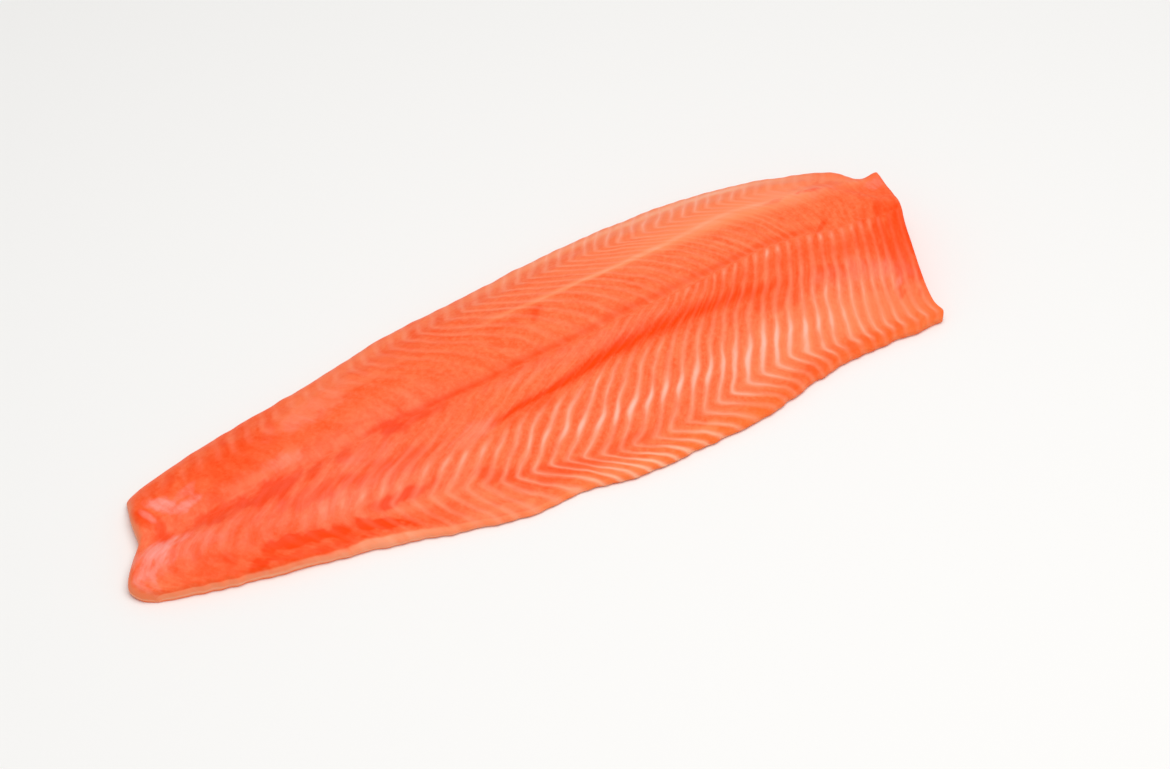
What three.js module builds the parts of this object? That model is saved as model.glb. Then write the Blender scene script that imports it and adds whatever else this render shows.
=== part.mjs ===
// A raw salmon fillet: one whole side of the fish, boned, skinned and trimmed, lying with its inner side up.
// Millimetres, +Z up. +X runs from the tail to the head end and +Y from the belly to the back.
// The origin is under the middle of the fillet, on the surface that it lies on.

import * as THREE from 'three';
import { mergeVertices } from 'three/addons/utils/BufferGeometryUtils.js';

// Driving sizes
const LENGTH = 480;
const WIDTH = 163.4;
const THICKNESS = 28.8;

// How finely the skin of the solid is divided: cells along the fillet and across it
const CELLS_ALONG = 100;
const CELLS_ACROSS = 42;
const CROWDING_ALONG = 0.5;
const CROWDING_ACROSS = 0.45;

// The four edges seen from above, in percent of the length and of the width
const TAIL_END = [
  [-48.1, -14.7], [-49.6, -11.3], [-50.0, -6.1], [-48.2, 1.6], [-46.7, 6.6], [-46.3, 9.9], [-45.8, 17.1],
  [-44.9, 25.7],
];
const BELLY_EDGE = [
  [-48.1, -14.7], [-43.3, -19.3], [-34.8, -25.7], [-25.0, -32.2], [-17.3, -39.4], [-9.4, -45.0], [-3.5, -45.3],
  [2.9, -49.1], [10.4, -49.8], [18.8, -49.3], [27.5, -44.7], [33.3, -43.0], [39.6, -43.8], [44.5, -44.7],
];
const HEAD_END = [
  [44.5, -44.7], [45.0, -42.5], [44.7, -37.9], [45.6, -26.3], [47.5, -11.2], [48.7, -3.6], [49.4, 3.6],
  [50.0, 14.7],
];
const BACK_EDGE = [
  [-44.9, 25.7], [-41.5, 28.8], [-31.3, 34.9], [-22.5, 38.3], [-14.6, 43.1], [-9.4, 45.6], [0.4, 47.6],
  [11.5, 49.5], [22.3, 49.9], [30.2, 47.8], [37.5, 42.8], [42.7, 36.4], [46.0, 26.9], [47.7, 18.4], [50.0, 14.7],
];

// Stations are [place, value]. Places run from 0 to 1, along from the tail or across from the belly.
const THICKNESS_ALONG = [[0, 0.365], [0.1, 0.417], [0.25, 0.556], [0.45, 0.747], [0.65, 0.92], [0.82, 1], [1, 0.972]];
const BODY_SECTION = [
  [0, 0.2], [0.08, 0.3], [0.18, 0.44], [0.32, 0.68], [0.45, 0.83], [0.56, 0.9], [0.72, 1], [0.84, 0.86],
  [0.94, 0.58], [1, 0.385],
];
const TAIL_SECTION = [[0, 0.66], [0.1, 0.84], [0.22, 0.97], [0.36, 1], [0.5, 0.92], [0.66, 1], [0.82, 0.97], [1, 0.6]];

// How far the back rises to its full thickness towards the cut at the head end
const SHOULDER = [
  [0.84, 0], [0.88, 0.1], [0.9, 0.26], [0.915, 0.42], [0.935, 0.62], [0.955, 0.73], [0.977, 0.72], [1, 1],
];

// Lines that run along the fillet, as [place along, place across]
const CREST_LINE = [[0, 0.8], [0.35, 0.78], [0.52, 0.744], [0.7, 0.716], [0.8, 0.728], [0.87, 0.748], [0.92, 0.8], [1, 1]];
const BACKBONE_LINE = [[0, 0.5], [0.1, 0.512], [0.3, 0.54], [0.6, 0.542], [0.9, 0.536], [1, 0.65]];
const RIB_LINE = [[0.4, 0.36], [0.51, 0.39], [0.61, 0.437], [0.7, 0.435], [0.8, 0.385], [0.92, 0.347]];

// Relief on the upper side
const CREST = { height: 1.0, halfWidth: 4.5 };
const BACKBONE_TROUGH = { depth: 1.5, halfWidth: 5.0 };
const TAIL_TROUGH = { depth: 1.6, halfWidth: 7.5 };
const RIB_TROUGH = { depth: 1.3, halfWidth: 4.5 };
const SHOULDER_SHARE = 0.93;

// How far each edge is rounded over, and the share of the height that it loses at the very edge
const BELLY_ROUNDING = { reach: 5, drop: 0.42 };
const BACK_ROUNDING = { reach: 6, drop: 0.3 };
const TAIL_ROUNDING = { reach: 5, drop: 0.5 };
const HEAD_ROUNDING = { reach: 4, drop: 0.1 };

// The foot of the edges draws in where the fillet meets the surface
const FOOT_HEIGHT = 2.5;
const FOOT_SHARE = 0.5;
const FOOT_INSET = 1.2;

// The flat underside is faced from a middle line that stops this many cells short of both ends
const UNDERSIDE_END_CELLS = 10;

const FLESH_COLOUR = 0xfb7a50;
const FLESH_ROUGHNESS = 0.42;

function edgeCurve(points) {
  const places = points.map(([along, across]) => new THREE.Vector3(along * LENGTH / 100, across * WIDTH / 100, 0));
  const curve = new THREE.CatmullRomCurve3(places, false, 'catmullrom', 0.5);
  curve.arcLengthDivisions = 2000;
  return curve;
}

const tailEnd = edgeCurve(TAIL_END);
const bellyEdge = edgeCurve(BELLY_EDGE);
const headEnd = edgeCurve(HEAD_END);
const backEdge = edgeCurve(BACK_EDGE);

// A point seen from above, blended from the four edges (a Coons patch)
function planPoint(along, across) {
  const point = new THREE.Vector3();
  point.addScaledVector(bellyEdge.getPointAt(along), 1 - across);
  point.addScaledVector(backEdge.getPointAt(along), across);
  point.addScaledVector(tailEnd.getPointAt(across), 1 - along);
  point.addScaledVector(headEnd.getPointAt(across), along);
  point.addScaledVector(bellyEdge.getPointAt(0), -(1 - along) * (1 - across));
  point.addScaledVector(backEdge.getPointAt(0), -(1 - along) * across);
  point.addScaledVector(bellyEdge.getPointAt(1), -along * (1 - across));
  point.addScaledVector(backEdge.getPointAt(1), -along * across);
  return point;
}

// The slope at each station: the harmonic mean of its neighbours' slopes, or level at a peak
function stationSlopes(stations) {
  const rises = stations.slice(1).map(([place, value], i) => (value - stations[i][1]) / (place - stations[i][0]));
  const inner = rises.slice(1).map((rise, i) => (rise * rises[i] > 0 ? 2 * rise * rises[i] / (rise + rises[i]) : 0));
  return [rises[0], ...inner, rises[rises.length - 1]];
}

// A smooth line through stations that doesn't overshoot them, level beyond both ends
function throughStations(stations, place) {
  const last = stations.length - 1;
  if (place <= stations[0][0]) return stations[0][1];
  if (place >= stations[last][0]) return stations[last][1];
  const i = stations.findIndex(([start]) => start > place) - 1;
  const slopes = stationSlopes(stations);
  const span = stations[i + 1][0] - stations[i][0];
  const t = (place - stations[i][0]) / span;
  const fromStart = (1 + 2 * t) * (1 - t) ** 2 * stations[i][1] + t * (1 - t) ** 2 * span * slopes[i];
  const fromEnd = t * t * (3 - 2 * t) * stations[i + 1][1] + t * t * (t - 1) * span * slopes[i + 1];
  return fromStart + fromEnd;
}

// 1 on a line and falling to 0 beside it
function nearLine(distance, halfWidth) {
  return Math.exp(-((distance / halfWidth) ** 2));
}

// 1 away from an edge, and a quarter round down to 1 - drop at the edge itself
function roundedOver(distance, { reach, drop }) {
  const inward = THREE.MathUtils.clamp(distance / reach, 0, 1);
  return 1 - drop * (1 - Math.sqrt(1 - (1 - inward) ** 2));
}

function heightAt(along, across) {
  const { smoothstep, lerp } = THREE.MathUtils;
  const width = bellyEdge.getPointAt(along).distanceTo(backEdge.getPointAt(along));
  const thickness = THICKNESS * throughStations(THICKNESS_ALONG, along);
  const bodyShare = smoothstep(along, 0.04, 0.42);
  const tailSection = throughStations(TAIL_SECTION, across);
  const bodySection = throughStations(BODY_SECTION, across);
  let height = thickness * lerp(tailSection, bodySection, bodyShare);

  // The back stays thick right up to the cut at the head end, and its corner turns up a little
  const shoulder = throughStations(SHOULDER, along);
  const shoulderRise = Math.max(0, thickness * SHOULDER_SHARE - height);
  height += shoulderRise * shoulder * smoothstep(across, 0.45, 1);

  const toCrest = (across - throughStations(CREST_LINE, along)) * width;
  const crestShare = smoothstep(along, 0.3, 0.6) * (1 - smoothstep(along, 0.97, 1));
  height += CREST.height * crestShare * nearLine(toCrest, CREST.halfWidth);

  const toBackbone = (across - throughStations(BACKBONE_LINE, along)) * width;
  const backboneShare = smoothstep(along, 0.05, 0.3) * (1 - smoothstep(along, 0.62, 0.85));
  height -= BACKBONE_TROUGH.depth * backboneShare * nearLine(toBackbone, BACKBONE_TROUGH.halfWidth);

  const tailShare = 1 - smoothstep(along, 0.02, 0.22);
  height -= TAIL_TROUGH.depth * tailShare * nearLine((across - 0.5) * width, TAIL_TROUGH.halfWidth);

  const toRibs = (across - throughStations(RIB_LINE, along)) * width;
  const ribShare = smoothstep(along, 0.38, 0.46) * (1 - smoothstep(along, 0.66, 0.84));
  height -= RIB_TROUGH.depth * ribShare * nearLine(toRibs, RIB_TROUGH.halfWidth);

  height *= roundedOver(across * width, BELLY_ROUNDING);
  height *= lerp(roundedOver((1 - across) * width, BACK_ROUNDING), 1, shoulder);
  height *= roundedOver(along * LENGTH, TAIL_ROUNDING);
  height *= roundedOver((1 - along) * LENGTH, HEAD_ROUNDING);
  return height;
}

// Places from 0 to 1, closer together near both ends so that the rounded edges are smooth
function crowdedPlace(index, cells, crowding) {
  const even = index / cells;
  return THREE.MathUtils.lerp(even, (1 - Math.cos(Math.PI * even)) / 2, crowding);
}

// The perimeter as [along, across] cell numbers, anticlockwise seen from above
function perimeterCells() {
  const cells = [];
  for (let i = 0; i < CELLS_ALONG; i += 1) cells.push([i, 0]);
  for (let j = 0; j < CELLS_ACROSS; j += 1) cells.push([CELLS_ALONG, j]);
  for (let i = CELLS_ALONG; i > 0; i -= 1) cells.push([i, CELLS_ACROSS]);
  for (let j = CELLS_ACROSS; j > 0; j -= 1) cells.push([0, j]);
  return cells;
}

function filletGeometry() {
  const positions = [];
  const faces = [];
  const addPoint = (x, y, z) => positions.push(x, y, z) / 3 - 1;
  const addQuad = (a, b, c, d) => faces.push(a, b, c, a, c, d);

  // The upper side, a grid of cells
  const alongAt = (i) => crowdedPlace(i, CELLS_ALONG, CROWDING_ALONG);
  const acrossAt = (j) => crowdedPlace(j, CELLS_ACROSS, CROWDING_ACROSS);
  const gridPoint = (i, j) => i * (CELLS_ACROSS + 1) + j;
  for (let i = 0; i <= CELLS_ALONG; i += 1) {
    for (let j = 0; j <= CELLS_ACROSS; j += 1) {
      const { x, y } = planPoint(alongAt(i), acrossAt(j));
      addPoint(x, y, heightAt(alongAt(i), acrossAt(j)));
    }
  }
  for (let i = 0; i < CELLS_ALONG; i += 1) {
    for (let j = 0; j < CELLS_ACROSS; j += 1) {
      addQuad(gridPoint(i, j), gridPoint(i + 1, j), gridPoint(i + 1, j + 1), gridPoint(i, j + 1));
    }
  }

  // The edge all round: straight down to the foot, then drawn in to the underside
  const rim = perimeterCells();
  const rimPoint = ([i, j]) => new THREE.Vector3().fromArray(positions, gridPoint(i, j) * 3);
  const footRing = [];
  const groundRing = [];
  rim.forEach((cell, n) => {
    const point = rimPoint(cell);
    const before = rimPoint(rim[(n + rim.length - 1) % rim.length]);
    const after = rimPoint(rim[(n + 1) % rim.length]);
    const inward = new THREE.Vector2(before.y - after.y, after.x - before.x).normalize();
    footRing.push(addPoint(point.x, point.y, Math.min(FOOT_HEIGHT, FOOT_SHARE * point.z)));
    groundRing.push(addPoint(point.x + FOOT_INSET * inward.x, point.y + FOOT_INSET * inward.y, 0));
  });
  rim.forEach(([i, j], n) => {
    const next = (n + 1) % rim.length;
    addQuad(footRing[n], footRing[next], gridPoint(...rim[next]), gridPoint(i, j));
    addQuad(groundRing[n], groundRing[next], footRing[next], footRing[n]);
  });

  // The flat underside, faced from the ground ring to its middle line
  const firstCell = UNDERSIDE_END_CELLS;
  const lastCell = CELLS_ALONG - UNDERSIDE_END_CELLS;
  const middleLine = [];
  for (let i = firstCell; i <= lastCell; i += 1) {
    const { x, y } = planPoint(alongAt(i), 0.5);
    middleLine.push(addPoint(x, y, 0));
  }
  const middleFor = ([i]) => middleLine[THREE.MathUtils.clamp(i, firstCell, lastCell) - firstCell];
  rim.forEach((cell, n) => {
    const next = (n + 1) % rim.length;
    const near = middleFor(cell);
    const far = middleFor(rim[next]);
    faces.push(groundRing[n], near, groundRing[next]);
    if (near !== far) faces.push(groundRing[next], near, far);
  });

  const geometry = new THREE.BufferGeometry();
  geometry.setAttribute('position', new THREE.Float32BufferAttribute(positions, 3));
  geometry.setIndex(faces);
  geometry.computeBoundingBox();
  const middle = geometry.boundingBox.getCenter(new THREE.Vector3());
  geometry.translate(-middle.x, -middle.y, 0);
  const merged = mergeVertices(geometry, 1e-4);
  merged.computeVertexNormals();
  return merged;
}

const flesh = new THREE.MeshStandardMaterial({ color: FLESH_COLOUR, roughness: FLESH_ROUGHNESS, metalness: 0 });
const fillet = new THREE.Mesh(filletGeometry(), flesh);
fillet.name = 'fillet';

const salmonFillet = new THREE.Group();
salmonFillet.add(fillet);

export default salmonFillet;
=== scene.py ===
"""A raw side of salmon, boned, skinned and trimmed, lying with its inner side up.

Metres, +Z up. +X runs from the tail to the head end and +Y from the belly to the back.
"""

import math

import bpy
import numpy as np
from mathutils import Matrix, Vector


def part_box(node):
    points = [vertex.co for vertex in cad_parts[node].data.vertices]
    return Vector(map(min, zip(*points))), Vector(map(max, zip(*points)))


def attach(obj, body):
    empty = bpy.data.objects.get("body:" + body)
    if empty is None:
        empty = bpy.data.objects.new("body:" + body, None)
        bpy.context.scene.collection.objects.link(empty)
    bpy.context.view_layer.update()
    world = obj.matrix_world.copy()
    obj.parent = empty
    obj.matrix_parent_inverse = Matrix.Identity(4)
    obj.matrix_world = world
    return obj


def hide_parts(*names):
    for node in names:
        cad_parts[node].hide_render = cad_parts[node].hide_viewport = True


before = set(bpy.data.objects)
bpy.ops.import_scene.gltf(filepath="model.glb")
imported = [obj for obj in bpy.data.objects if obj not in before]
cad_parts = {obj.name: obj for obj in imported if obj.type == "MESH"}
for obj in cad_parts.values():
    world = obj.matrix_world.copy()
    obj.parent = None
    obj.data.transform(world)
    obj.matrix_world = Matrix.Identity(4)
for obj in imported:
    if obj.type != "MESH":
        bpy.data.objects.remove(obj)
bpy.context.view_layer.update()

bl_info = {
    "name": "Raw Salmon Fillet",
    "version": (1, 0, 0),
    "blender": (4, 5, 0),
    "location": "3D View > Sidebar > Salmon",
    "description": "A raw side of salmon with its muscle bands, on a pale floor",
    "category": "Add Mesh",
}

MM = 0.001
FILLET_LOW, FILLET_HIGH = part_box("fillet")

# ---------------------------------------------------------------------------------------------
# The form. Places run from 0 to 1, along from the tail or across from the belly.
# ---------------------------------------------------------------------------------------------

# The four edges seen from above, in percent of the length and of the width
TAIL_END = (
    (-48.1, -14.7), (-49.6, -11.3), (-50.0, -6.1), (-48.2, 1.6), (-46.7, 6.6), (-46.3, 9.9),
    (-45.8, 17.1), (-44.9, 25.7),
)
BELLY_EDGE = (
    (-48.1, -14.7), (-43.3, -19.3), (-34.8, -25.7), (-25.0, -32.2), (-17.3, -39.4), (-9.4, -45.0),
    (-3.5, -45.3), (2.9, -49.1), (10.4, -49.8), (18.8, -49.3), (27.5, -44.7), (33.3, -43.0),
    (39.6, -43.8), (44.5, -44.7),
)
HEAD_END = (
    (44.5, -44.7), (45.0, -42.5), (44.7, -37.9), (45.6, -26.3), (47.5, -11.2), (48.7, -3.6), (49.4, 3.6),
    (50.0, 14.7),
)
BACK_EDGE = (
    (-44.9, 25.7), (-41.5, 28.8), (-31.3, 34.9), (-22.5, 38.3), (-14.6, 43.1), (-9.4, 45.6), (0.4, 47.6),
    (11.5, 49.5), (22.3, 49.9), (30.2, 47.8), (37.5, 42.8), (42.7, 36.4), (46.0, 26.9), (47.7, 18.4),
    (50.0, 14.7),
)

# The thickness, as (place, share of the full thickness): along the fillet, and across the tail and the body
THICKNESS_ALONG = (
    (0, 0.365), (0.1, 0.417), (0.25, 0.556), (0.45, 0.747), (0.65, 0.92), (0.82, 1), (1, 0.972),
)
BODY_SECTION = (
    (0, 0.2), (0.08, 0.3), (0.18, 0.44), (0.32, 0.68), (0.45, 0.83), (0.56, 0.9), (0.72, 1), (0.84, 0.86),
    (0.94, 0.58), (1, 0.385),
)
TAIL_SECTION = (
    (0, 0.66), (0.1, 0.84), (0.22, 0.97), (0.36, 1), (0.5, 0.92), (0.66, 1), (0.82, 0.97), (1, 0.6),
)

# Where along the fillet the tail's section gives way to the body's
TAIL_TO_BODY = (0.04, 0.42)

# How far the back rises towards the cut at the head end, along the fillet, to what share of its thickness
# there, and where across that begins and is full
SHOULDER = (
    (0.84, 0), (0.88, 0.1), (0.9, 0.26), (0.915, 0.42), (0.935, 0.62), (0.955, 0.73), (0.977, 0.72),
    (1, 1),
)
SHOULDER_SHARE = 0.93
SHOULDER_ACROSS = (0.45, 1)

# Lines that run along the fillet, as (place along, place across)
LOWER_FOLD_LINE = (
    (0, 0.2), (0.3, 0.19), (0.395, 0.167), (0.44, 0.15), (0.51, 0.12), (0.574, 0.1), (0.64, 0.095),
    (0.7, 0.118), (0.74, 0.127), (0.79, 0.124), (0.82, 0.105), (0.84, 0.084), (0.865, 0.066), (1, 0.062),
)
RIB_LINE = (
    (0, 0.34), (0.4, 0.36), (0.51, 0.39), (0.61, 0.437), (0.7, 0.435), (0.8, 0.385), (0.92, 0.347),
    (1, 0.34),
)
BACKBONE_LINE = ((0, 0.5), (0.1, 0.512), (0.3, 0.54), (0.6, 0.542), (0.9, 0.545), (0.94, 0.59), (1, 0.68))
CREST_LINE = (
    (0, 0.8), (0.35, 0.78), (0.52, 0.744), (0.7, 0.716), (0.8, 0.728), (0.87, 0.748), (0.92, 0.8), (1, 1),
)
UPPER_FOLD_LINE = (
    (0, 0.8), (0.14, 0.81), (0.22, 0.89), (0.5, 0.883), (0.6, 0.86), (0.68, 0.825), (0.9, 0.83),
    (1, 0.999),
)

# Relief: its rise (mm), its half width (mm), and the places along where it begins, is full, fades and ends
CREST_RIDGE = (1.0, 4.5, (0.3, 0.6, 0.97, 1))
BACKBONE_TROUGH = (-1.5, 5.0, (0.05, 0.3, 0.62, 0.85))
TAIL_HOLLOW = (-1.6, 7.5, (-1, 0, 0.02, 0.22))
RIB_CREASE = (-1.3, 4.5, (0.38, 0.46, 0.66, 0.84))

# How far each edge is rounded over (mm), and the share of the height that it loses at the very edge
BELLY_ROUNDING = (5, 0.42)
BACK_ROUNDING = (6, 0.3)
TAIL_ROUNDING = (5, 0.5)
HEAD_ROUNDING = (4, 0.1)

# How far the belly edge and the back edge waver from their smooth curves (mm), how quickly that dies out
# towards the middle, and the waves, as (strength, length in mm, seed)
BELLY_WAVER = 0.4
BACK_WAVER = 0.2
WAVER_POWER = 6
BELLY_WAVES = ((1, 24, 31), (0.6, 9, 32))
BACK_WAVES = ((1, 24, 33), (0.6, 9, 34))

# ---------------------------------------------------------------------------------------------
# The muscle bands. A pale line parts each band from the next, and zigzags across the fillet.
# ---------------------------------------------------------------------------------------------

# How far the pale lines lean towards the head for each step towards the back, as (place along, lean),
# one row for each strip between the lines above, from the belly edge to the back edge
BELLY_EDGE_LEAN = (
    (0.3, -0.3), (0.4, -0.5), (0.5, -1.3), (0.7, -1.5), (0.78, -0.9), (0.84, -0.5), (1, -0.3),
)
BELLY_LEAN = (
    (0, 0.1), (0.2, 0.4), (0.34, 1.1), (0.46, 1.1), (0.6, 0.92), (0.7, 0.64), (0.8, 0.5), (0.86, 0.26),
    (1, 0.04),
)
RIB_LEAN = (
    (0, 0.3), (0.3, 1.0), (0.62, 1.3), (0.66, 1.2), (0.7, 0.9), (0.74, 0.6), (0.78, 0.45), (0.82, 0.26),
    (0.9, 0.1), (1, 0),
)
BACKBONE_LEAN = (
    (0, -0.3), (0.2, -0.6), (0.34, -0.9), (0.5, -1.2), (0.66, -1.25), (0.78, -1.25), (0.86, -0.9),
    (0.93, -0.4), (1, -0.1),
)
CREST_LEAN = (
    (0, 0.2), (0.14, -0.2), (0.2, -0.6), (0.34, -0.8), (0.4, -1.0), (0.5, -1.4), (0.58, -1.4),
    (0.66, -1.7), (0.74, -1.8), (0.82, -1.5), (0.9, -1.0), (1, -0.3),
)
BACK_EDGE_LEAN = (
    (0, 0.1), (0.3, 0.2), (0.5, 0.45), (0.58, 0.6), (0.66, 0.55), (0.84, 0.55), (0.92, 0.4), (1, 0.3),
)

# A line leans least in the middle of the belly and by the backbone, and more towards its turns
LEAST_CURL = 0.7
CURL_GROWTH = 0.9
RIB_CURL = 1.5

# On each side of the backbone the lines are counted at one place across, as (place along, line number)
BELLY_COUNTING_PLACE = 0.28
BELLY_LINE_COUNT = (
    (-0.15, -23), (0, -16), (0.252, -5), (0.371, 0), (0.481, 5), (0.59, 10), (0.69, 15), (0.744, 18),
    (0.823, 22), (0.892, 26), (0.95, 30), (0.992, 33), (1.15, 46),
)
BACK_COUNTING_PLACE = 0.9
BACK_LINE_COUNT = (
    (-0.15, -12), (0, -5.2), (0.121, 0), (0.219, 5), (0.321, 10), (0.4125, 15), (0.508, 20), (0.6, 25),
    (0.683, 30), (0.735, 33), (0.844, 40), (1, 50), (1.15, 60),
)

# Down the cut sides the lines step back by this share of a band for each mm
LINES_PER_MM_OF_DEPTH = -0.16

# The usual length of a band along the fillet (mm), and how far the lines waver, as (share of a band,
# length in mm, seed)
BAND_LENGTH = 9.5
BAND_WAVES = ((0.06, 26, 3), (0.018, 9, 4))

# Patterns are drawn out in strokes along the pale lines: a distance across counts for this share of itself
STROKE_SHARE = 0.4

# Where the belly lines thicken and step aside, as (place along, place across). The thickening is partly the
# lines' own knees and partly a painted highlight where the belly bends from the ribs to the flap. Then how
# much of that there is along the fillet, how far the lines thicken to each side of that place (mm) and by
# how much, and the share of a band that they step, over what distance, and how far away they are back in
# line (mm)
KNOT_LINE = (
    (0.4, 0.26), (0.48, 0.235), (0.6, 0.222), (0.68, 0.22), (0.74, 0.21), (0.8, 0.2), (0.86, 0.178),
    (1, 0.165),
)
KNOTS = ((0.42, 0), (0.49, 0.5), (0.55, 0.85), (0.64, 1), (0.76, 1), (0.82, 0.8), (0.88, 0.45), (0.93, 0))
KNOT_HALF_LENGTH = ((0.5, 4), (0.64, 4.5), (0.7, 7), (0.78, 8), (0.83, 5), (1, 4))
KNEE_AND_HIGHLIGHT_STRENGTH = 0.45
KNOT_STEP = 0.07
KNOT_STEP_HALF_LENGTH = 2.2
KNOT_STEP_REACH = 16

# The waves that an uneven field is made of, and their lengths as shares of the length that is asked for
WAVE_COUNT = 7
WAVE_LENGTHS = (0.7, 1.5)


def through(stations, place):
    """A smooth line through stations that doesn't overshoot them, level beyond both ends."""
    places, values = np.array(stations, float).T
    rises = np.diff(values) / np.diff(places)
    slopes = np.zeros(len(places))
    slopes[0], slopes[-1] = rises[0], rises[-1]
    for i in range(1, len(rises)):
        if rises[i - 1] * rises[i] > 0:
            slopes[i] = 2 * rises[i - 1] * rises[i] / (rises[i - 1] + rises[i])
    place = np.clip(place, places[0], places[-1])
    i = np.clip(np.searchsorted(places, place, side="right") - 1, 0, len(places) - 2)
    span = places[i + 1] - places[i]
    t = (place - places[i]) / span
    from_start = (1 + 2 * t) * (1 - t) ** 2 * values[i] + t * (1 - t) ** 2 * span * slopes[i]
    from_end = t * t * (3 - 2 * t) * values[i + 1] + t * t * (t - 1) * span * slopes[i + 1]
    return from_start + from_end


def smoothstep(value, low, high):
    """A smooth step from 0 at low to 1 at high."""
    t = np.clip((value - low) / (high - low), 0, 1)
    return t * t * (3 - 2 * t)


def present(along, begins, full, fades, ends):
    """0 before a form begins and after it ends, and 1 between full and fades."""
    return smoothstep(along, begins, full) * (1 - smoothstep(along, fades, ends))


def near(distance, half_width):
    """1 on a line and falling to 0 beside it."""
    return np.exp(-((distance / half_width) ** 2))


def waves(x, y, length, seed):
    """A smooth uneven field, mostly between -1 and 1, with swells of roughly the given length."""
    draw = np.random.default_rng(seed)
    field = np.zeros(np.shape(x))
    for _ in range(WAVE_COUNT):
        heading = draw.uniform(0, math.tau)
        pitch = length * draw.uniform(*WAVE_LENGTHS)
        shift = draw.uniform(0, math.tau)
        field += np.sin((x * math.cos(heading) + y * math.sin(heading)) * math.tau / pitch + shift)
    return field / math.sqrt(WAVE_COUNT)


def wavy(x, y, layers, base=0):
    """Adds layers of waves to a base, each given as (strength, length, seed)."""
    return sum((strength * waves(x, y, length, seed) for strength, length, seed in layers), base)


class EdgeCurve:
    """A smooth curve through an edge's points, read by its share of the arc length."""

    STEPS = 3000

    def __init__(self, points, length, width):
        points = np.array(points) / 100 * (length, width)
        points = np.vstack((2 * points[0] - points[1], points, 2 * points[-1] - points[-2]))
        place = np.linspace(0, len(points) - 3, self.STEPS)
        i = np.minimum(place.astype(int), len(points) - 4)
        t = (place - i)[:, None]
        p0, p1, p2, p3 = points[i], points[i + 1], points[i + 2], points[i + 3]
        squared = 2 * p0 - 5 * p1 + 4 * p2 - p3
        cubed = 3 * p1 - p0 - 3 * p2 + p3
        self.line = 0.5 * (2 * p1 + (p2 - p0) * t + squared * t**2 + cubed * t**3)
        steps = np.linalg.norm(np.diff(self.line, axis=0), axis=1)
        self.share = np.concatenate(([0], np.cumsum(steps))) / steps.sum()

    def __call__(self, share):
        return np.stack([np.interp(share, self.share, self.line[:, axis]) for axis in (0, 1)], axis=-1)


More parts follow.
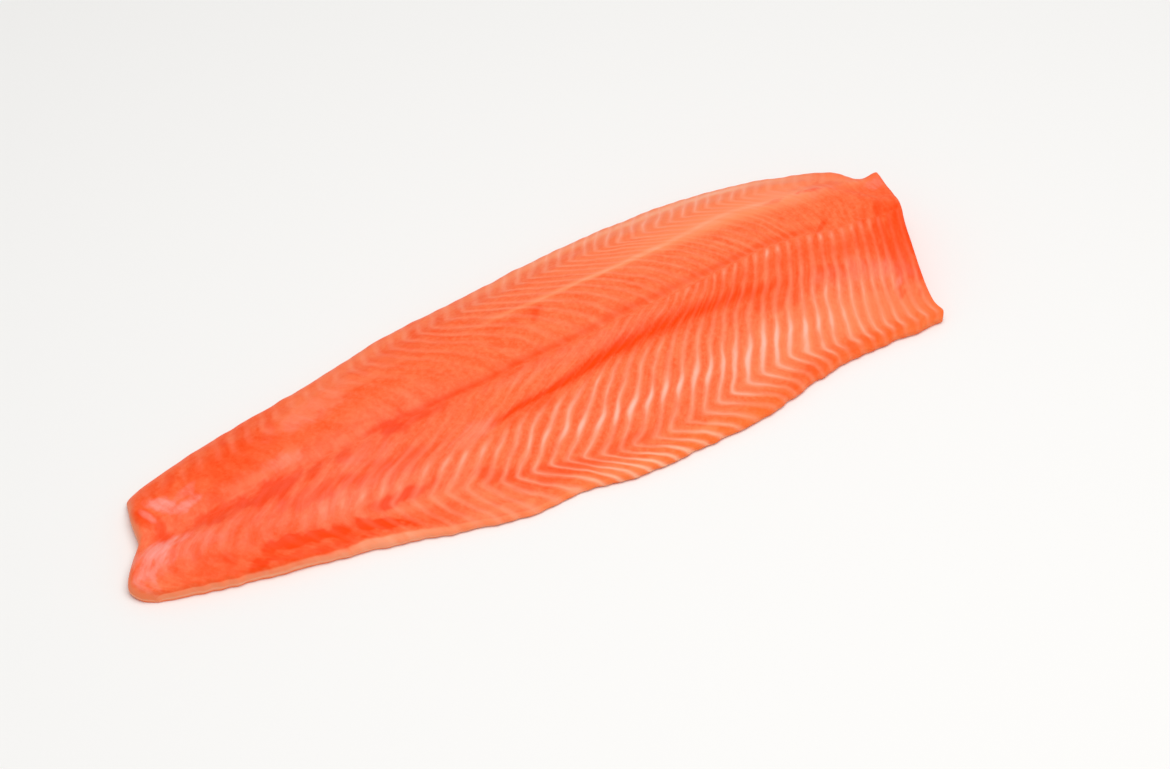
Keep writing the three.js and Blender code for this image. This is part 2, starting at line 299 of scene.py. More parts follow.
class FilletForm:
    """The whole form in millimetres: its plan, its height and its muscle bands."""

    # The grid that the pale lines are traced on, across and along, how far it reaches along, and how many
    # times the turns of the lines are smoothed
    TRACE_CELLS = (500, 1200)
    TRACE_REACH = (-0.12, 1.12)
    TURN_SMOOTHING = 24

    def __init__(self, length, width, thickness):
        self.length, self.width, self.thickness = length, width, thickness
        self.tail_end = EdgeCurve(TAIL_END, length, width)
        self.belly_edge = EdgeCurve(BELLY_EDGE, length, width)
        self.head_end = EdgeCurve(HEAD_END, length, width)
        self.back_edge = EdgeCurve(BACK_EDGE, length, width)
        self.belly_lines = self.trace_lines(BELLY_COUNTING_PLACE, BELLY_LINE_COUNT)
        self.back_lines = self.trace_lines(BACK_COUNTING_PLACE, BACK_LINE_COUNT)

    def plan(self, along, across):
        """A point seen from above, blended from the four edges (a Coons patch)."""
        a, c = along[..., None], across[..., None]
        point = (1 - c) * self.belly_edge(along) + c * self.back_edge(along)
        point += (1 - a) * self.tail_end(across) + a * self.head_end(across)
        point -= (1 - a) * ((1 - c) * self.belly_edge(0.0) + c * self.back_edge(0.0))
        point -= a * ((1 - c) * self.belly_edge(1.0) + c * self.back_edge(1.0))

        # The cut edges waver a little, each in its own way
        place = along * self.length
        waver = BELLY_WAVER * (1 - across) ** WAVER_POWER * wavy(place, 0, BELLY_WAVES)
        waver += BACK_WAVER * across**WAVER_POWER * wavy(place, 0, BACK_WAVES)
        point[..., 1] += waver
        return point

    def span(self, along):
        """The breadth of the fillet from the belly edge to the back edge."""
        return np.linalg.norm(self.back_edge(along) - self.belly_edge(along), axis=-1)

    def beside(self, line, along, across):
        """Distance from a lengthwise line, towards the back."""
        return (across - through(line, along)) * self.span(along)

    def height(self, along, across):
        """The height of the upper side above the floor."""
        thickness = self.thickness * through(THICKNESS_ALONG, along)
        body = smoothstep(along, *TAIL_TO_BODY)
        section = (1 - body) * through(TAIL_SECTION, across) + body * through(BODY_SECTION, across)
        height = thickness * section

        # The back stays thick right up to the cut at the head end, and its corner turns up a little
        shoulder = through(SHOULDER, along)
        missing = np.maximum(0, thickness * SHOULDER_SHARE - height)
        height += missing * shoulder * smoothstep(across, *SHOULDER_ACROSS)

        for (rise, half_width, reach), distance in (
            (CREST_RIDGE, self.beside(CREST_LINE, along, across)),
            (BACKBONE_TROUGH, self.beside(BACKBONE_LINE, along, across)),
            (TAIL_HOLLOW, (across - 0.5) * self.span(along)),
            (RIB_CREASE, self.beside(RIB_LINE, along, across)),
        ):
            height += rise * present(along, *reach) * near(distance, half_width)

        height *= rounded_over(across * self.span(along), BELLY_ROUNDING)
        back = rounded_over((1 - across) * self.span(along), BACK_ROUNDING)
        height *= back + (1 - back) * shoulder
        height *= rounded_over(along * self.length, TAIL_ROUNDING)
        height *= rounded_over((1 - along) * self.length, HEAD_ROUNDING)
        return height

    def lean(self, along, across):
        """How far a pale line leans towards the head, in mm for each mm towards the back."""
        # The upper fold always stays above the crest
        crest = through(CREST_LINE, along)
        upper_fold = np.maximum(through(UPPER_FOLD_LINE, along), crest + 0.01)
        edges = [
            np.zeros(np.shape(along)), through(LOWER_FOLD_LINE, along), through(RIB_LINE, along),
            through(BACKBONE_LINE, along), crest, upper_fold, np.ones(np.shape(along)),
        ]
        leans = (BELLY_EDGE_LEAN, BELLY_LEAN, RIB_LEAN, BACKBONE_LEAN, CREST_LEAN, BACK_EDGE_LEAN)
        share = [
            np.clip((across - low) / np.maximum(high - low, 1e-4), 0, 1)
            for low, high in zip(edges, edges[1:])
        ]
        belly_curl = LEAST_CURL + CURL_GROWTH * (2 * share[1] - 1) ** 2
        backbone_curl = LEAST_CURL + CURL_GROWTH * share[3] ** 2
        curls = (1, belly_curl, RIB_CURL - share[2], backbone_curl, 1, 1)
        strip = sum((across >= edge).astype(int) for edge in edges[1:-1])
        return np.choose(strip, [through(row, along) * curl for row, curl in zip(leans, curls)])

    def trace_lines(self, counting_place, line_count):
        """Follows every pale line from the counting place to both edges, and keeps its number in a grid."""
        rows, columns = self.TRACE_CELLS
        along = np.linspace(*self.TRACE_REACH, columns + 1)
        inside = np.clip(along, 0, 1)
        origin = np.empty((rows + 1, columns + 1))
        start = round(counting_place * rows)
        origin[start] = along
        for step, last in ((1, rows), (-1, 0)):
            step_up = self.span(inside) * step / rows
            for row in range(start, last, step):
                across = np.full(columns + 1, (row + step / 2) / rows)
                # The lean counts where the line is half way up the step
                drift = self.lean(inside, across) * step_up / self.length
                drift = self.lean(np.clip(inside - drift / 2, 0, 1), across) * step_up / self.length
                origin[row + step] = np.interp(along - drift, along, origin[row])
        # A line turns over about 2 mm where two strips meet, and not in a point
        for _ in range(self.TURN_SMOOTHING):
            origin[1:-1] = (origin[:-2] + 2 * origin[1:-1] + origin[2:]) / 4
        return through(line_count, origin)

    def line_number(self, along, across):
        """A whole number on each pale line, rising towards the head."""
        rows, columns = self.TRACE_CELLS
        low, high = self.TRACE_REACH
        column, row = (along - low) / (high - low) * columns, np.clip(across, 0, 1) * rows
        i, j = np.clip(column.astype(int), 0, columns - 1), np.clip(row.astype(int), 0, rows - 1)
        a, c = column - i, row - j

        def read(grid):
            low_row = (1 - a) * grid[j, i] + a * grid[j, i + 1]
            high_row = (1 - a) * grid[j + 1, i] + a * grid[j + 1, i + 1]
            return (1 - c) * low_row + c * high_row

        belly_side = across < through(BACKBONE_LINE, along)
        return np.where(belly_side, read(self.belly_lines), read(self.back_lines))

    def strokes(self, along, across):
        """Places measured along the bands and along the pale lines, for patterns that run in strokes."""
        return BAND_LENGTH * self.line_number(along, across), STROKE_SHARE * across * self.span(along)


def rounded_over(distance, rounding):
    """1 away from an edge, and a quarter round down to 1 - drop at the edge itself."""
    reach, drop = rounding
    inward = np.clip(distance / reach, 0, 1)
    return 1 - drop * (1 - np.sqrt(1 - (1 - inward) ** 2))


# ---------------------------------------------------------------------------------------------
# Where the flesh is pale, where it is deep in colour and where its pale lines are strong
# ---------------------------------------------------------------------------------------------

# Strength of the pale lines along each strip, from the belly edge to the back edge
BELLY_EDGE_LINES = (
    (0, 0), (0.22, 0.04), (0.3, 0.1), (0.36, 0.3), (0.4, 0.4), (0.45, 0.44), (0.5, 0.64), (0.56, 0.85),
    (0.6, 0.78), (0.66, 0.68), (0.72, 0.34), (0.8, 0.3), (0.86, 0.2), (1, 0.15),
)
LOWER_FOLD_LINES = (
    (0, 0), (0.23, 0.06), (0.3, 0.3), (0.4, 0.36), (0.45, 0.47), (0.55, 0.44), (0.62, 0.42), (0.7, 0.52),
    (0.75, 0.6), (0.8, 0.57), (0.86, 0.54), (0.92, 0.55), (1, 0.42),
)
BELLY_LINES = (
    (0, 0), (0.16, 0.12), (0.24, 0.4), (0.3, 0.48), (0.36, 0.42), (0.45, 0.4), (0.5, 0.44), (0.6, 0.47),
    (0.7, 0.38), (0.84, 0.5), (0.9, 0.38), (1, 0.2),
)
RIB_EDGE_LINES = (
    (0, 0), (0.2, 0.15), (0.3, 0.34), (0.38, 0.6), (0.46, 0.5), (0.53, 0.55), (0.62, 0.45), (0.8, 0.36),
    (0.88, 0.55), (0.94, 0.5), (1, 0.3),
)
RIB_LINES = (
    (0, 0), (0.22, 0.12), (0.36, 0.2), (0.45, 0.04), (0.6, 0.05), (0.7, 0.08), (0.78, 0.18), (0.88, 0.36),
    (0.95, 0.3), (1, 0.15),
)
LOWER_LOIN_LINES = (
    (0, 0), (0.35, 0.06), (0.5, 0.1), (0.6, 0.12), (0.7, 0.14), (0.78, 0.2), (0.9, 0.16), (0.94, 0.12),
    (1, 0.08),
)
BACKBONE_LINES = (
    (0, 0), (0.4, 0.06), (0.55, 0.12), (0.62, 0.2), (0.75, 0.26), (0.9, 0.26), (0.95, 0.16), (1, 0.06),
)
SEAM_LINES = ((0, 0), (0.4, 0.04), (0.6, 0.12), (0.8, 0.15), (0.88, 0.04), (1, 0.0))
UPPER_LOIN_LINES = (
    (0, 0), (0.3, 0.04), (0.45, 0.1), (0.58, 0.2), (0.66, 0.26), (0.8, 0.18), (0.86, 0.08), (0.9, 0.0),
    (1, 0.0),
)
CREST_LINES = (
    (0, 0), (0.3, 0.08), (0.45, 0.2), (0.56, 0.32), (0.66, 0.24), (0.74, 0.08), (0.88, 0.02), (1, 0.0),
)
BACK_LINES = (
    (0, 0.04), (0.1, 0.1), (0.3, 0.2), (0.45, 0.22), (0.6, 0.28), (0.68, 0.32), (0.8, 0.22), (0.9, 0.1),
    (1, 0.04),
)
BACK_EDGE_LINES = (
    (0, 0.1), (0.15, 0.2), (0.3, 0.28), (0.5, 0.36), (0.62, 0.46), (0.72, 0.54), (0.8, 0.54),
    (0.86, 0.34), (0.93, 0.15), (1, 0.08),
)
RIM_LINES = (
    (0, 0.08), (0.3, 0.14), (0.42, 0.18), (0.5, 0.4), (0.6, 0.5), (0.72, 0.5), (0.84, 0.35), (0.95, 0.12),
    (1, 0.1),
)

# The bright ends of the lines below the backbone: their strength along the fillet, how far below it they lie
# (mm), their half width (mm) and how that strength varies, as (share, length in mm, seed)
BACKBONE_LINE_ENDS = ((0.66, 0), (0.74, 0.12), (0.8, 0.22), (0.9, 0.24), (0.95, 0.15), (0.98, 0))
LINE_END_PLACE = 3.5
LINE_END_HALF_WIDTH = 2.6
LINE_END_WAVES = ((0.6, 19, 41),)

# How strongly the lines show on the cut at the head end and on the underside
HEAD_CUT_LINES = 0.5
UNDERSIDE_LINES = 0.45

# How deep the plain colour is along the fillet, and the share of it that adds to the stains on top
TAIL_DEPTH = (
    (0, 0.05), (0.06, 0.25), (0.14, 0.34), (0.22, 0.24), (0.32, 0.14), (0.42, 0.06), (0.5, 0), (0.88, 0),
    (0.94, 0.12), (1, 0.3),
)
TAIL_DEPTH_SHARE = 0.5

# Strength of the fat beneath the surface, from 0 in lean flesh to 2 where it is almost all fat. Along the
# back it is partly painted light where the back catches the light, and along the crest partly a painted
# highlight.
BACK_FAT_AND_LIGHT = (
    (0, 0), (0.17, 0.05), (0.22, 0.6), (0.3, 0.36), (0.41, 0.0), (0.5, 0.1), (0.6, 0.45), (0.7, 0.95),
    (0.78, 1.1), (0.85, 1.1), (0.9, 0.8), (0.95, 0.7), (1, 0.4),
)
CREST_FAT_AND_HIGHLIGHT = (
    (0.42, 0), (0.48, 0.7), (0.6, 1.5), (0.66, 1.5), (0.72, 1.5), (0.8, 1.5), (0.87, 1.4), (0.92, 1.2),
    (0.96, 1.2), (1, 0.3),
)

# The back's fat and painted light far from the crest and what comes on top close to it, how far that reaches
# and how sharply the pale ends below the crest (mm)
BACK_FAT_BASE = 0.58
BACK_FAT_GAIN = 0.55
BACK_FAT_REACH = 12
CREST_EDGE = 0.6

# How far the brightest fat and painted highlight lies above the crest (mm), how far it spreads above that
# (mm), over what distance the fat fades out below the crest (mm), and the share of that distance that the
# brightest part spreads
CREST_BRIGHT_SHIFT = ((0.5, 0), (0.68, 0.5), (0.79, 3.5), (0.86, 1), (1, 0))
CREST_BRIGHT_SPREAD = ((0.5, 2.5), (0.62, 3.5), (0.7, 5), (0.86, 5), (1, 3))
CREST_FADING = ((0.5, 2.5), (0.62, 3), (0.75, 8), (0.82, 11), (0.9, 12), (1, 6))
CREST_FADING_SHARE = 0.4

# The pale rim of the back, partly fat and partly painted light that lifts the steep back edge out of its
# shade:
# its strength, then how far in from the back edge it is palest and its half width (both in mm)
BACK_RIM_FAT_AND_LIGHT = (
    (0, 0), (0.22, 0), (0.3, 0.4), (0.44, 0.4), (0.54, 0.95), (0.62, 1.1), (0.7, 1.2), (0.8, 1.3),
    (0.87, 0.5), (0.96, 0.1), (1, 0),
)
RIM_FAT_INSET = ((0.4, 7), (0.56, 7), (0.7, 10), (1, 10.5))
RIM_FAT_HALF_WIDTH = 4.2

# The pale rim along the belly edge, partly fat and partly painted light on the rounded rim and its side that
# turn
# away from the key light: its strength, its breadth (mm) and where its border fades (breadths).
# Then the half width of the pale rim of the tail (mm).
BELLY_RIM_FAT_AND_LIGHT = (
    (0, 1.3), (0.15, 1.3), (0.2, 1.55), (0.25, 1.55), (0.3, 1.4), (0.35, 1), (0.45, 0.8), (0.62, 0.4),
    (0.9, 0.2), (1, 0.6),
)
BELLY_RIM_BREADTH = (
    (0, 1.2), (0.14, 1.3), (0.18, 1.8), (0.22, 3.2), (0.25, 4.6), (0.27, 4.6), (0.3, 3.8), (0.36, 3),
    (0.5, 2), (1, 2),
)
BELLY_RIM_BORDER = (0.7, 1.2)
TAIL_RIM_HALF_WIDTH = 2

# Fat on the cut sides, partly painted light that lifts the sides out of their shade, and on the underside,
# and then across the belly from its edge to the ribs
WALL_FAT_AND_LIGHT = ((0, 2), (0.3, 2), (0.45, 1.2), (0.6, 0.8), (0.8, 0.3), (1, 0))
UNDERSIDE_FAT = 0.1
BELLY_EDGE_FAT = (
    (0.3, 0), (0.42, 0.15), (0.5, 0.05), (0.7, 0.08), (0.76, 0.05), (0.84, 0), (0.92, 0.1), (1, 0.7),
)
BELLY_FOLD_FAT = ((0.3, 0), (0.6, 0), (0.7, 0.15), (0.78, 0.5), (0.88, 0.65), (0.95, 0.75), (1, 0.6))
BELLY_FAT = ((0.5, 0), (0.7, 0.1), (0.8, 0.3), (0.88, 0.35), (0.95, 0.15), (1, 0.1))
UPPER_BELLY_FAT = ((0.5, 0), (0.85, 0), (0.92, 0.25), (0.97, 0.4), (1, 0.3))
BELLY_FAT_ROWS = (
    (0.03, BELLY_EDGE_FAT), (0.12, BELLY_FOLD_FAT), (0.2, BELLY_FOLD_FAT), (0.26, BELLY_FAT),
    (0.31, UPPER_BELLY_FAT), (0.38, ((0, 0), (1, 0))),
)

# Strength of the blood along the ribs, the backbone and between them, and the half widths and places of the
# stains (mm), with how they change between two places along
RIB_BLOOD = (
    (0.42, 0), (0.45, 0.9), (0.5, 1.1), (0.58, 1.1), (0.66, 0.9), (0.7, 0.9), (0.76, 0.8), (0.83, 0.55),
    (0.92, 0.4), (1, 0.3),
)
RIB_BLOOD_HALF_WIDTH = 2.2
RIB_BLOOD_GROWTH = 4.4
RIB_BLOOD_GROWS = (0.48, 0.66)
RIB_BLOOD_PLACE = 0.4
RIB_BLOOD_WAVES = ((0.16, 3.5, 51),)
LOIN_BLOOD = ((0.68, 0), (0.75, 0.35), (0.85, 0.35), (0.92, 0.5), (1, 0.5))
LOIN_BLOOD_HALF_WIDTH = 11
BACKBONE_BLOOD = (
    (0.27, 0), (0.3, 0.8), (0.37, 0.8), (0.48, 0.65), (0.62, 0.5), (0.72, 0.5), (0.86, 0.4), (0.91, 0),
)
BACKBONE_BLOOD_HALF_WIDTH = 2.4
BACKBONE_BLOOD_PLACE = 1.6
BACKBONE_BLOOD_DRIFT = 1.4
BACKBONE_BLOOD_DRIFTS = (0.5, 0.6)

# How much of the blood the pale rim along the belly edge hides, and out to what share of its breadth
RIM_CLEARING = 0.8
RIM_CLEARING_BREADTH = 0.8

# Spots as (place along, place across, half length in mm, half width in mm, turn in degrees, strength)
BLOOD_AND_SHADOW_SPOTS = (
    # The wide dark strip along the tail, and the stain where the backbone was
    (0.105, 0.485, 20, 8.0, 0, 0.65), (0.17, 0.48, 18, 9.0, 0, 0.9), (0.222, 0.485, 7, 5, 60, 0.5),
    (0.26, 0.5, 7, 5.5, 70, 0.5), (0.32, 0.527, 11, 7, -12, 0.95), (0.355, 0.525, 18, 5.0, -4, 0.7),
    (0.03, 0.58, 22, 4, -62, 0.6), (0.012, 0.7, 8, 2.8, -70, 0.4), (0.46, 0.545, 50, 6, 0, 0.25),
    # Stains near the belly edge of the tail
    (0.18, 0.135, 18, 5.5, -2, 0.95), (0.225, 0.13, 18, 3.7, -4, 0.8), (0.272, 0.11, 14, 5, -8, 1),
    (0.24, 0.11, 28, 8, -8, 0.3), (0.295, 0.2, 14, 4, 14, 0.85), (0.33, 0.217, 12, 3, 10, 0.6),
    (0.315, 0.208, 13, 3, 12, 0.6), (0.122, 0.05, 9, 4.5, 25, 0.8), (0.18, 0.045, 26, 6, 4, 0.5),
    (0.225, 0.08, 20, 6, 12, 0.35), (0.11, 0.165, 7, 4, 60, 0.4), (0.15, 0.115, 10, 5, 60, 0.4),
    (0.075, 0.11, 22, 12, 30, 0.3),
    # Deeper flesh between the tail and the ribs, and below the back edge of the tail
    (0.215, 0.35, 24, 7, 0, 0.6), (0.145, 0.4, 18, 6, 10, 0.15), (0.3, 0.34, 28, 9, 3, 0.45),
    (0.335, 0.37, 24, 4, 3, 0.3), (0.28, 0.46, 16, 6, 0, 0.3), (0.33, 0.09, 20, 8, 0, 0.3),
    (0.42, 0.18, 16, 5, -24, 0.5), (0.13, 0.76, 36, 14, 3, 0.35), (0.03, 0.86, 16, 9, 3, 0.35),
    (0.13, 0.87, 44, 9, 3, 0.2), (0.36, 0.86, 34, 8, 2, 0.3), (0.48, 0.1, 32, 7, -8, 0.5),
    (0.58, 0.12, 26, 4, 0, 0.35), (0.49, 0.36, 18, 6, 10, 0.4), (0.82, 0.34, 30, 8, -6, 0.4),
    (0.86, 0.02, 60, 7, 0, 0.35), (0.08, 0.57, 20, 6, 0, 0.1),
    # The head end, painted shadow in the nicks beside the crest, and the nick beside the backbone
    (0.985, 0.47, 20, 30, 0, 0.6), (0.94, 0.64, 24, 16, 0, 0.05), (0.92, 0.82, 16, 7, 10, 0.35),
    (0.888, 0.765, 9, 2.0, 12, 0.5), (0.846, 0.742, 9, 1.8, 8, 0.3), (0.5, 0.71, 24, 2.2, 0, 0.25),
    (0.521, 0.697, 5, 2.6, 50, 0.6), (0.891, 0.566, 7, 1.8, 45, 0.7), (0.74, 0.36, 22, 5, -8, 0.3),
    (0.035, 0.49, 8, 4, 0, 0.3),
)
FAT_SPOTS = (
    # Streaks where the back begins to fatten
    (0.222, 0.83, 10, 2.6, -50, 0.9), (0.25, 0.80, 9, 2.4, -45, 0.7), (0.2, 0.78, 5, 2.6, -60, 0.5),
    (0.265, 0.79, 6, 2.2, -50, 0.5), (0.335, 0.88, 8, 3, -60, 0.7), (0.343, 0.83, 5, 2.6, -60, 0.6),
    # The pale seam above the dark strip of the tail
    (0.13, 0.553, 40, 1.3, 0, 0.5), (0.154, 0.59, 12, 4, 0, 0.7), (0.193, 0.62, 7, 5.5, 45, 0.9),
    (0.125, 0.59, 10, 3.0, -15, 0.35), (0.27, 0.575, 16, 3, 0, 0.3), (0.28, 0.46, 10, 4, 0, 0.3),
    # Where the belly lines begin, and the pale mottled flesh below them
    (0.405, 0.35, 12, 4, 30, 0.4), (0.41, 0.27, 14, 6, 0, 0.2), (0.4, 0.11, 20, 6, 8, 0.4),
    (0.34, 0.16, 26, 4, 4, 0.5), (0.19, 0.085, 9, 3, 20, 0.5), (0.275, 0.015, 30, 2.4, 0, 1),
    (0.395, 0.04, 22, 4, 0, 0.7), (0.53, 0.045, 13, 5, 0, 0.6), (0.56, 0.015, 16, 3.5, 0, 0.8),
    (0.66, 0.045, 10, 4, 0, 0.8), (0.25, 0.25, 40, 8, 0, 0.25),
)
# A faint pink over the tail, along it and across it
TAIL_PINK_ACROSS = (0.1, 0.22, 0.6, 0.7)
TAIL_PINK = ((0, 0.08), (0.25, 0.12), (0.35, 0.08), (0.45, 0), (1, 0))
PINK_SPOTS = (
    # Sinew that shows on both lobes of the tail
    (0.03, 0.385, 15, 5.5, 4, 0.9), (0.024, 0.32, 11, 3, 62, 0.7), (0.042, 0.325, 9, 2.4, 60, 0.5),
    (0.012, 0.25, 8, 2.2, 66, 0.5), (0.03, 0.235, 8, 2.0, 64, 0.3), (0.058, 0.35, 9, 3, 50, 0.4),
    (0.008, 0.15, 8, 2.2, 75, 0.4), (0.02, 0.14, 8, 2.0, 60, 0.2), (0.03, 0.3, 9, 9, 70, 0.4),
    (0.04, 0.72, 11, 3.6, -38, 0.9), (0.063, 0.65, 8, 3.4, 0, 0.7), (0.068, 0.735, 7, 3, 10, 0.5),
    (0.034, 0.775, 5, 2.4, 0, 0.6), (0.02, 0.69, 7, 1.8, -62, 0.5), (0.08, 0.33, 16, 8, 0, 0.2),
    (0.185, 0.61, 12, 4.5, 0, 0.2), (0.24, 0.27, 44, 7, 6, 0.12),
    # Pinker flesh beside the backbone, beneath the back edge and where the belly lines begin
    (0.235, 0.8, 26, 8, 0, 0.2), (0.28, 0.425, 20, 6, 0, 0.13), (0.15, 0.35, 16, 6, 0, 0.12),
    (0.41, 0.36, 14, 6, 20, 0.25), (0.55, 0.49, 60, 6, 0, 0.12), (0.87, 0.78, 30, 8, 0, 0.14),
    # Pale sinew across the ribs at the head end with painted pinkish highlights beside it, and at its upper
    # corner
    (0.94, 0.33, 24, 7, -6, 0.18), (0.89, 0.32, 14, 6, -14, 0.12), (0.967, 0.25, 4, 2, 30, 0.4),
    (0.985, 0.9, 8, 4, 30, 0.3),
)

# How yellow the pale lines and the flesh are along the belly edge, and how far in that reaches (mm)
CREAM_LINES = ((0.2, 0), (0.3, 0.5), (0.5, 1), (1, 1))
GOLDEN_FLESH = ((0.4, 0), (0.5, 0.26), (0.64, 0.4), (0.72, 0.4), (0.79, 0.14), (0.87, 0.24), (1, 0.3))
YELLOW_REACH = 11

# Where the border of a spot lies, in half widths, and how ragged it is, as (strength, length in mm, seed)
SPOT_BORDER = (0.4, 1.35)
RAGGED_ALL_ROUND = ((0.2, 14, 21),)
RAGGED_LENGTHWISE = ((0.1, 6, 24),)
RAGGED_IN_STROKES = ((0.05, 6, 22), (0.035, 3, 23))
RAGGED_STRETCH = 1.6


def spotted(form, along, across, spots):
    """Soft spots that merge where they meet, with outlines as uneven as torn flesh."""
    span = form.span(along)
    ragged = wavy(along * form.length, across * span, RAGGED_ALL_ROUND)
    ragged += wavy(along * form.length, RAGGED_STRETCH * across * span, RAGGED_LENGTHWISE)
    ragged += wavy(*form.strokes(along, across), RAGGED_IN_STROKES)
    clear = np.ones(np.shape(along))
    for spot_along, spot_across, half_length, half_width, turn, strength in spots:
        x, y = (along - spot_along) * form.length, (across - spot_across) * span
        c, s = math.cos(math.radians(turn)), math.sin(math.radians(turn))
        reach = np.hypot((x * c + y * s) / half_length, (y * c - x * s) / half_width) + ragged
        clear *= 1 - strength * (1 - smoothstep(reach, *SPOT_BORDER))
    return 1 - clear


def lofted(rows, across):
    """Blends values between rows that run along the fillet, each given as (places across, values)."""
    share = rows[0][1]
    for (low, _), (high, value) in zip(rows, rows[1:]):
        t = np.clip((across - low) / np.maximum(high - low, 1e-3), 0, 1)
        share = share + (value - share) * t * t * (3 - 2 * t)
    return share


def line_strength(form, along, across):
    """How strongly the pale lines show, from 0 to about 0.9 where they thicken under a painted highlight."""
    fold, rib = through(LOWER_FOLD_LINE, along), through(RIB_LINE, along)
    backbone, crest = through(BACKBONE_LINE, along), through(CREST_LINE, along)
    upper = np.maximum(through(UPPER_FOLD_LINE, along), crest + 0.02)
    # Each row lies on a line along the fillet, just beside it or part of the way to the next
    rows = (
        (fold * 0.22, BELLY_EDGE_LINES), (fold * 0.85, LOWER_FOLD_LINES),
        (fold * 1.1, LOWER_FOLD_LINES), (fold * 0.6 + rib * 0.4, BELLY_LINES),
        (rib - 0.075, RIB_EDGE_LINES), (rib - 0.025, RIB_LINES), (rib + 0.02, RIB_LINES),
        (rib * 0.5 + backbone * 0.5, LOWER_LOIN_LINES),
        (backbone - 0.015, BACKBONE_LINES), (backbone + 0.012, SEAM_LINES),
        (backbone * 0.4 + crest * 0.6, UPPER_LOIN_LINES), (crest, CREST_LINES),
        (crest * 0.5 + upper * 0.5, BACK_LINES), (upper * 0.7 + 0.3, BACK_EDGE_LINES),
        (upper * 0.35 + 0.65, RIM_LINES),
    )
    strength = lofted([(place, through(row, along)) for place, row in rows], across)
    # The belly lines thicken where the belly bends, partly their own knees and partly a painted highlight
    knee_and_highlight = near(form.beside(KNOT_LINE, along, across), through(KNOT_HALF_LENGTH, along))
    to_end = form.beside(BACKBONE_LINE, along, across) + LINE_END_PLACE
    line_end = near(to_end, LINE_END_HALF_WIDTH) * through(BACKBONE_LINE_ENDS, along)
    line_end = line_end * wavy(along * form.length, 0, LINE_END_WAVES, base=1)
    return strength + KNEE_AND_HIGHLIGHT_STRENGTH * knee_and_highlight * through(KNOTS, along) + line_end


def fat_and_light_share(form, along, across):
    """0 in lean flesh, 1 in fatty flesh and 2 in almost all fat, part of it painted light on the back, rims
    and crest.
    """
    # The back is pale down to the crest, partly fat and partly painted light, where the pale ends sharply in
    # a
    # bright ridge: fat with a painted highlight along the crest
    to_crest = form.beside(CREST_LINE, along, across)
    fading = through(CREST_FADING, along)
    back = smoothstep(to_crest, -fading, CREST_EDGE)
    back = back * (BACK_FAT_BASE + BACK_FAT_GAIN * near(to_crest, BACK_FAT_REACH)) * through(BACK_FAT_AND_LIGHT, along)
    from_ridge = to_crest - through(CREST_BRIGHT_SHIFT, along)
    spread = np.where(from_ridge > 0, through(CREST_BRIGHT_SPREAD, along), CREST_FADING_SHARE * fading)
    ridge = near(from_ridge, spread) * through(CREST_FAT_AND_HIGHLIGHT, along)

    # The back rim is partly fat and partly painted light on the steep edge that turns away from the key
    # light
    inset = (1 - across) * form.span(along) - through(RIM_FAT_INSET, along)
    rim = near(inset, RIM_FAT_HALF_WIDTH) * through(BACK_RIM_FAT_AND_LIGHT, along)
    belly = lofted([(place, through(row, along)) for place, row in BELLY_FAT_ROWS], across)
    # The belly rim is painted pale: partly fat, partly painted light on the rim that turns away from the key
    # light
    in_breadths = across * form.span(along) / through(BELLY_RIM_BREADTH, along)
    belly_rim = (1 - smoothstep(in_breadths, *BELLY_RIM_BORDER)) * through(BELLY_RIM_FAT_AND_LIGHT, along)
    tail_rim = near(along * form.length, TAIL_RIM_HALF_WIDTH)
    spots = spotted(form, along, across, FAT_SPOTS)
    return np.clip(np.maximum.reduce((back + rim, ridge, belly, belly_rim, tail_rim, spots)), 0, 2)


def blood_and_shadow_share(form, along, across):
    """How deeply the flesh is stained, from 0 to about 1.3, with painted shadow in the nicks beside the
    crest.
    """
    to_rib = form.beside(RIB_LINE, along, across)
    half_width = RIB_BLOOD_HALF_WIDTH + RIB_BLOOD_GROWTH * smoothstep(along, *RIB_BLOOD_GROWS)
    torn = wavy(*form.strokes(along, across), RIB_BLOOD_WAVES, base=1)
    ribs = near(to_rib - RIB_BLOOD_PLACE, half_width * torn) * through(RIB_BLOOD, along) * torn

    to_backbone = form.beside(BACKBONE_LINE, along, across)
    drift = BACKBONE_BLOOD_DRIFT * smoothstep(along, *BACKBONE_BLOOD_DRIFTS)
    backbone = near(to_backbone - BACKBONE_BLOOD_PLACE - drift, BACKBONE_BLOOD_HALF_WIDTH)
    backbone = backbone * through(BACKBONE_BLOOD, along)
    loin = near((to_rib + to_backbone) / 2, LOIN_BLOOD_HALF_WIDTH) * through(LOIN_BLOOD, along)
    depth = through(TAIL_DEPTH, along)
    spots = spotted(form, along, across, BLOOD_AND_SHADOW_SPOTS) + TAIL_DEPTH_SHARE * depth
    blood = np.maximum.reduce((ribs, backbone, loin, spots, depth))
    rim = near(across * form.span(along), RIM_CLEARING_BREADTH * through(BELLY_RIM_BREADTH, along))
    return blood * (1 - RIM_CLEARING * rim)


def pink_share(form, along, across):
    """How sinewy the flesh is, from 0 to about 1, with painted pinkish highlights at the head end."""
    tail = through(TAIL_PINK, along) * present(across, *TAIL_PINK_ACROSS)
    return spotted(form, along, across, PINK_SPOTS) + tail


# ---------------------------------------------------------------------------------------------
# Building
# ---------------------------------------------------------------------------------------------

# Cells of the upper side and of the underside, along and across, and how much they crowd towards the edges
UPPER_CELLS = (560, 146)
UNDERSIDE_CELLS = (150, 40)
CROWDING = (0.5, 0.45)

